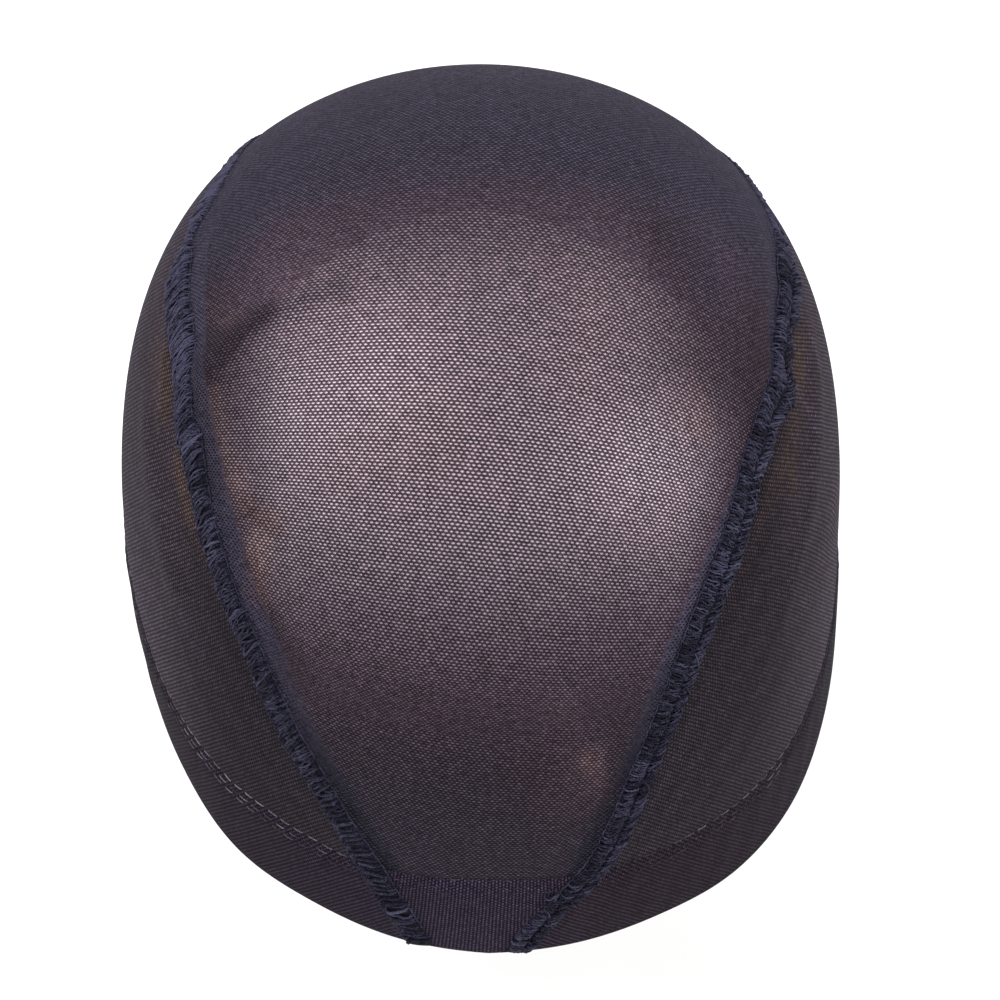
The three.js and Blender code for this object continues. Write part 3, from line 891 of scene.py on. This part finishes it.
class SeamLine:
    """A seam by its length, from the front edge over the crown to the nape edge."""

    def __init__(self, side):
        self.spread_at = side_spread(side)
        self.sign = 1 if side == "left" else -1
        inset = SEAM_END_INSET / HEM_WIDTH
        front, rear = (meet_hem(self.spread_at, inset, back) for back in (False, True))
        self.stations = np.linspace(front, rear, 1600)
        points = form_point(station_dir(self.stations, self.spread_at(self.stations)))
        steps = np.linalg.norm(np.diff(points, axis=0), axis=-1)
        self.arc = np.concatenate([[0], np.cumsum(steps)])
        self.length = self.arc[-1]
        course = LEFT_COURSE if side == "left" else RIGHT_COURSE
        middle, half, tone = (table_curve(course, k) for k in (1, 2, 3))
        self.middle = lambda s: middle(self.station(s))
        self.half = lambda s: half(self.station(s))
        self.tone = lambda s: tone(self.station(s))

    def station(self, s):
        return np.interp(s, self.arc, self.stations)

    def arc_at(self, station):
        return np.interp(station, self.stations, self.arc)

    def directions(self, s):
        station = self.station(s)
        return station_dir(station, self.spread_at(station))

    def place(self, s, across, height):
        """Points at arc s, across away from the crown panel, at a height above the cloth."""
        s = np.clip(s, 0, self.length)
        d = self.directions(s)
        base = form_point(d)
        normal = form_normal(d)
        ahead = form_point(self.directions(np.clip(s + 1, 0, self.length)))
        behind = form_point(self.directions(np.clip(s - 1, 0, self.length)))
        tangent = unit(ahead - behind)
        outside = unit(np.cross(tangent, normal))
        outside = outside * np.sign(outside[..., :1]) * self.sign
        rise = cloth_top(hem_level(d)) + height + fold_lift(base) - across**2 / 170
        return base + outside * across[..., None] + normal * rise[..., None], normal


def waves(s, lengths, seed):
    """Smooth irregular wave between about -1 and 1 along a seam."""
    phases = np.random.default_rng(seed).uniform(0, 2 * np.pi, len(lengths))
    total = sum(np.sin(2 * np.pi * s / length + phase) for length, phase in zip(lengths, phases))
    return total / len(lengths) ** 0.7


def lobe(line, centre, half_width, height, pitch, skew, radius, seed, rough=1.0):
    """Looper threads laid side by side over the seam, as flat arches from edge to edge."""
    local = np.random.default_rng(seed)
    starts = [0.3]
    while starts[-1] < line.length - 1.3:
        starts.append(starts[-1] + pitch(starts[-1]) * local.uniform(0.7, 1.3))
    starts = np.array(starts[:-1])
    t = np.linspace(-1, 1, 11)[None, :]
    s0 = starts[:, None]
    spot = lambda scale: local.normal(0, scale, s0.shape) * rough
    close = 0.55 + 0.45 * smooth(np.minimum(s0, line.length - s0) / 3.5)
    wide = half_width(s0) * (1 + 0.1 * waves(s0, (7, 13, 29), seed)) * (1 + spot(0.09)) * close
    middle = centre(s0) + 0.12 * waves(s0, (9, 17, 41), seed + 1) + spot(0.1)
    high = height(s0) * (1 + 0.22 * waves(s0, (5, 15, 33), seed + 2) + spot(0.14))
    across = middle + wide * t
    bend = 0.16 * np.sin(t * 3.5 + local.uniform(0, 6.3, s0.shape)) + spot(0.08) * np.cos(t * 4)
    s = s0 + (skew(s0) + spot(0.16)) * wide * t + bend * (1 - t**2)
    arch = high * np.clip(1 - (t * 0.99) ** 4, 0, 1) ** 0.6 - 0.3 * np.abs(t) ** 6
    over = spot(0.1) * (1 - t**2) + 0.06 * np.sin(t * 9 + local.uniform(0, 6.3, s0.shape))
    path, normal = line.place(s, across, arch + over)
    thick = radius(s0) * local.uniform(0.75, 1.2, s0.shape) * (1 - 0.3 * np.abs(t) ** 5)
    shade = 0.5 + 0.22 * waves(starts, (3, 11, 47), seed + 3) + local.normal(0, 0.18, len(starts))
    # Painted light and shade along the seam, from its course table, on top of the random shade of each
    # thread.
    shade = shade + line.tone(starts)
    return path, normal, thick + 0 * s, np.clip(shade, 0, 1)


def loose_end(line, s0, across, seed):
    """A few cut ends of thread that curl off the seam."""
    local = np.random.default_rng(seed)
    count = 5
    t = np.linspace(0, 1, 11)[None, :]
    lean = local.uniform(-1, 1, (count, 1))
    reach = local.uniform(1.6, 3.2, (count, 1))
    s = s0 + local.uniform(-1, 1, (count, 1)) + reach * (0.7 * t + 0.2 * np.sin(t * 4 + lean * 3))
    side = across + local.uniform(-0.6, 0.6, (count, 1)) + reach * lean * 0.6 * t**1.5
    rise = 0.7 + 0.5 * np.sin(t * 2.8) - 0.5 * t
    path, normal = line.place(s, side, rise)
    radii = 0.13 * (1 - 0.35 * t) + 0 * s
    return path, normal, radii, local.uniform(0.6, 1.0, count)


def same(value):
    return lambda s: value + 0 * s


def over_crown(line, s, start):
    """Share of the seam's height, flatter where it passes over the crown to the front."""
    return 1 - 0.75 * smooth((line.arc_at(start) - s) / 20)


def seam_core(line, name, centre, half_width, height):
    """Dark bundle of threads under the loops."""
    s = np.linspace(0.2, line.length - 0.2, 420)[:, None]
    angle = np.linspace(0, np.pi, 11)[None, :]
    across = centre(s) + half_width(s) * 0.95 * np.cos(angle)
    rise = height(s) * 0.75 * np.sin(angle) ** 0.6 - 0.12
    points, _ = line.place(s + 0 * angle, across, rise)
    rows, columns = points.shape[:2]
    index = np.arange(rows * columns).reshape(rows, columns)
    following = np.roll(index, -1, axis=1)
    quads = np.stack([index[:-1], following[:-1], following[1:], index[1:]], axis=-1).reshape(-1, 4)
    flat = points.reshape(-1, 3)
    quads = outward(flat, quads)
    faces = quads.tolist() + [index[0].tolist(), index[-1, ::-1].tolist()]
    weave = np.stack(np.broadcast_arrays(s, angle / np.pi * 3), axis=-1).reshape(-1, 2)
    values = {"shade": np.full(len(flat), 0.4)}
    return make_object(name, flat, faces, weave, values, CORE_LOOK)


def running_thread(line, across, height, wave, step, radius, seed):
    """Needle thread along a seam, diving between its stitches, as one long path."""
    s = np.arange(0.4, line.length - 0.4, step / 8)
    phase = 2 * np.pi * s / step
    side = across(s) + 0.1 * waves(s, (5, 11, 23), seed)
    rise = height + wave * np.cos(phase)
    path, normal = line.place(s, side, rise)
    return path[None], normal[None], np.full((1, len(s)), radius), np.array([0.35])


def cut_up(path, normal, radii, shade):
    """One long thread cut into pieces that join end to end, so that all threads share one mesh."""
    count = 32
    starts = np.arange(0, path.shape[1] - count - 1, count)
    index = starts[:, None] + np.arange(count + 1)[None, :]
    return path[0][index], normal[0][index], radii[0][index], np.full(len(starts), shade[0])


def loose_fibres(line, half_width, number, seed):
    """Fine fibres that stand off the seam's threads."""
    local = np.random.default_rng(seed)
    s0 = local.uniform(line.arc_at(6.0), line.length - 4, number)[:, None]
    side = local.choice([-1.0, 1.0], number)[:, None]
    t = np.linspace(0, 1, 6)[None, :]
    reach = local.uniform(0.3, 1.2, number)[:, None]
    across = line.middle(s0) + side * (half_width(s0) * local.uniform(0.1, 1.0, s0.shape) + reach * t * 0.8)
    s = s0 + local.normal(0, 1.0, s0.shape) * t + 0.3 * np.sin(t * 5 + s0)
    rise = local.uniform(0.4, 1.2, s0.shape) + reach * 0.4 * np.sin(t * 2.6) - 0.4 * t
    path, normal = line.place(s, across, rise)
    radii = 0.035 * (1 - 0.6 * t) + 0 * s
    return path, normal, radii, local.uniform(0.4, 1.0, number)


def ladder(line, s):
    """1 where the left seam opens into a ladder toward the nape, 0 above it."""
    start = line.arc_at(98.0)
    return smooth((s - start) / 14)


def thread_piece(name, groups, sides, material):
    """All threads of groups that share a point count become one object."""
    path, normal, radii, shade = (np.concatenate([group[k] for group in groups]) for k in range(4))
    return tube_object(name, path, normal, radii, sides, shade, material)


def join(pieces, name):
    """One object from several, in the first one's place."""
    bpy.ops.object.select_all(action="DESELECT")
    for piece in pieces:
        piece.select_set(True)
    bpy.context.view_layer.objects.active = pieces[0]
    bpy.ops.object.join()
    pieces[0].name = name
    return pieces[0]


def left_seam():
    line = SeamLine("left")
    zone = lambda s: ladder(line, s)
    part = lambda s, station, reach: smooth((s - line.arc_at(station)) / reach)
    tall = lambda s: (0.78 - 0.12 * zone(s) + 0.12 * waves(s, (26, 47), 6)) * over_crown(line, s, 4.0)
    pitch = lambda s: 0.5 + 0.38 * part(s, 34.0, 14) - 0.33 * part(s, 60.0, 14) + 0.9 * zone(s)
    skew = lambda s: 0.2 + 0.05 * part(s, 30.0, 20) - 0.1 * part(s, 64.0, 30) - 0.2 * zone(s)
    radius = lambda s: 0.21 + 0.12 * part(s, 34.0, 14) - 0.09 * part(s, 60.0, 14) + 0.08 * zone(s)
    loops = lobe(line, line.middle, line.half, tall, pitch, skew, radius, 31)
    inner_at = lambda s: line.middle(s) - 0.45 * line.half(s)
    inner_half = lambda s: line.half(s) * 0.5
    inner_tall = lambda s: tall(s) + 0.02
    inner_pitch = lambda s: 0.9 + 2.2 * zone(s)
    short = lobe(line, inner_at, inner_half, inner_tall, inner_pitch, same(0.05), same(0.16), 37, 1.3)
    outer_at = lambda s: line.middle(s) + 0.72 * line.half(s)
    outer_half = lambda s: line.half(s) * 0.26
    outer_tall = lambda s: tall(s) * 0.95
    outer_edge = lobe(line, outer_at, outer_half, outer_tall, same(0.62), same(0.8), same(0.19), 39, 1.3)
    fibres = loose_fibres(line, line.half, 420, 41)
    edges = [
        running_thread(line, lambda s: line.middle(s) - line.half(s) - 0.1, 0.1, 0.07, 2.3, 0.17, 51),
        running_thread(line, lambda s: line.middle(s) + line.half(s) + 0.1, 0.1, 0.12, 2.1, 0.17, 52),
    ]
    edges = [cut_up(*edge) for edge in edges]
    core = seam_core(line, "left_seam_core", line.middle, line.half, tall)
    threads = [
        thread_piece("left_loops", [loops, short, outer_edge], 5, SEAM_LOOK),
        thread_piece("left_fibres", [fibres], 4, SEAM_LOOK),
        thread_piece("left_edges", edges, 5, SEAM_LOOK),
    ]
    return core, join(threads, "left_seam_threads")


def right_seam():
    """Two lanes side by side, the inner one nearly smooth and the outer one like a cord."""
    line = SeamLine("right")
    low = lambda s: smooth((s - line.arc_at(46.0)) / 20)
    rough_height = lambda s: 0.16 + 0.14 * (1 - low(s))
    tall = lambda s: (0.85 + rough_height(s) * waves(s, (6.5, 13, 39), 11)) * over_crown(line, s, 9.0)
    outer_tall = lambda s: (0.8 + rough_height(s) * waves(s, (5.5, 17, 31), 12)) * over_crown(line, s, 9.0)
    inner_at = lambda s: line.middle(s) - 0.45 * line.half(s)
    inner_half = lambda s: 0.53 * line.half(s)
    outer_at = lambda s: line.middle(s) + 0.56 * line.half(s)
    outer_half = lambda s: 0.43 * line.half(s)
    groups = [
        lobe(line, inner_at, inner_half, tall, same(0.46), same(-0.15), same(0.2), 61, 0.9),
        lobe(line, inner_at, inner_half, tall, same(2.2), same(0.35), same(0.2), 63, 1.2),
        lobe(line, outer_at, outer_half, outer_tall, same(0.64), same(-0.85), same(0.235), 71, 0.9),
        lobe(line, outer_at, outer_half, outer_tall, same(2.4), same(0.5), same(0.17), 73, 1.3),
    ]
    groups.append(loose_end(line, line.arc_at(115.0), -2.2, 101))
    groups.append(loose_end(line, line.length - 3.0, 0.4, 103))
    fibres = loose_fibres(line, line.half, 420, 81)
    edges = [
        running_thread(line, lambda s: line.middle(s) - line.half(s) - 0.15, 0.1, 0.1, 1.9, 0.17, 91),
        running_thread(line, lambda s: line.middle(s) + line.half(s) + 0.05, 0.1, 0.1, 2.1, 0.16, 93),
    ]
    core = seam_core(line, "right_seam_core", line.middle, line.half, lambda s: tall(s) * 0.8)
    threads = [
        thread_piece("right_loops", groups, 5, SEAM_LOOK),
        thread_piece("right_fibres", [fibres], 4, SEAM_LOOK),
        thread_piece("right_edge", [cut_up(*edge) for edge in edges], 5, SEAM_LOOK),
    ]
    return core, join(threads, "right_seam_threads")


# Hem stitches

STITCH_STEP = 3.4
STITCH_LENGTH = 2.7
STITCH_RADII = (0.12, 0.1, 0.095)
STITCH_SHADES = (0.95, 0.62, 0.5)


def hem_stitches():
    """Three rows of straight stitches round the whole hem, made darker near the back, where the seams end,
    and toward the sides.
    """
    turn = np.linspace(-180, 180, 4001)
    groups = []
    for row, level in enumerate(STITCH_ROWS):
        points = form_point(turn_dir(turn, hem_rise(turn, level)))
        arc = np.concatenate([[0], np.cumsum(np.linalg.norm(np.diff(points, axis=0), axis=-1))])
        starts = np.arange(1.0 + row * 1.1, arc[-1] - STITCH_STEP, STITCH_STEP)
        starts = starts + rng.normal(0, 0.12, len(starts))
        t = np.linspace(0, 1, 8)[None, :]
        along = starts[:, None] + STITCH_LENGTH * rng.uniform(0.88, 1.06, (len(starts), 1)) * t
        at_turn = np.interp(along, arc, turn)
        slant = rng.normal(0, 0.006, (len(starts), 1)) * (t - 0.5)
        here = level + slant + 0.004 * np.sin(along * 0.11 + row)
        d = turn_dir(at_turn, hem_rise(at_turn, here))
        outside, _ = band_heights(here, at_turn)
        at_middle = np.mean(at_turn, axis=1)
        aside = smooth((np.abs(at_middle) - 52) / 12) * smooth((118 - np.abs(at_middle)) / 16)
        rise = outside + 0.13 - 0.08 * aside[:, None] - 0.3 * np.abs(2 * t - 1) ** 6
        path = cloth_point(d, rise)
        radii = np.full(along.shape, STITCH_RADII[row]) * (1 - 0.35 * np.abs(2 * t - 1) ** 4)
        bright = STITCH_SHADES[row] - 1.1 * np.exp(-(((at_middle + 4) / 27) ** 2))
        bright = bright - 0.2 * (at_middle < 0) - 0.5 * aside
        shade = np.clip(bright + rng.normal(0, 0.2, len(starts)), 0, 1)
        groups.append((path, form_normal(d), radii, shade))
    piece = thread_piece("hem_stitches", groups, 5, STITCH_LOOK)
    return piece


crown = crown_net()
sides = [side_net(side) for side in ("left", "right")]
nape_hem = crown_hem("nape_hem", "nape_hem_band", True)
front_hem = crown_hem("front_hem", "forehead_hem_band", False)
side_hems = [side_hem(side) for side in ("left", "right")]
left_core, left_threads = left_seam()
right_core, right_threads = right_seam()
stitches = hem_stitches()

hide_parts("left_seam")
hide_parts("right_seam")

# Floor, light and camera


def simple_look(name, colour, roughness):
    n = Nodes(name)
    place = n.add("TexCoord").outputs["Object"]
    grain = n.noise(place, 60.0, 3.0)
    shade = n.mix(n.ramp(grain, 0.3, 0.7, 0.0, 0.03), colour, (0.8, 0.8, 0.8, 1))
    return n.finish(shade, roughness, None)


FLOOR_LEVEL = -0.225
bpy.ops.mesh.primitive_plane_add(size=9.0, location=(0, 0, FLOOR_LEVEL))
floor = bpy.context.object
floor.name = "floor"
floor.data.materials.append(simple_look("floor_paper", (0.92, 0.915, 0.91, 1), 0.9))


def area_light(name, place, target, size, power):
    data = bpy.data.lights.new(name, "AREA")
    data.shape = "DISK"
    data.size = size
    data.energy = power
    light = bpy.data.objects.new(name, data)
    light.location = place
    light.rotation_euler = (Vector(target) - Vector(place)).to_track_quat("-Z", "Y").to_euler()
    bpy.context.scene.collection.objects.link(light)
    return light


area_light("key_light", (0.9, 1.3, 1.5), (0, 0, -0.08), 1.2, 30)
area_light("fill_light", (-1.3, 1.0, 1.1), (0, 0, -0.08), 1.4, 22)
area_light("front_light", (0.2, -1.6, 1.3), (0, 0, -0.1), 1.4, 20)

world = bpy.data.worlds.new("studio")
bpy.context.scene.world = world
world.use_nodes = True
world.node_tree.nodes["Background"].inputs[0].default_value = (1, 1, 1, 1)
world.node_tree.nodes["Background"].inputs[1].default_value = 0.75

bpy.context.scene.view_settings.view_transform = "Standard"

CAMERA_PLACE = Vector((0, 0.9429, 0.4832))
CAMERA_TARGET = Vector((-0.00396, 0.00301, -0.0883))
CAMERA_ROLL = 0.81
camera_data = bpy.data.cameras.new("camera")
camera_data.lens = 186.8
camera_data.sensor_width = 36
camera_data.clip_start = 0.01
camera = bpy.data.objects.new("camera", camera_data)
bpy.context.scene.collection.objects.link(camera)
look = CAMERA_TARGET - CAMERA_PLACE
roll = Quaternion(look.normalized(), math.radians(CAMERA_ROLL))
camera.location = CAMERA_PLACE
camera.rotation_mode = "QUATERNION"
camera.rotation_quaternion = roll @ look.to_track_quat("-Z", "Y")
bpy.context.scene.camera = camera
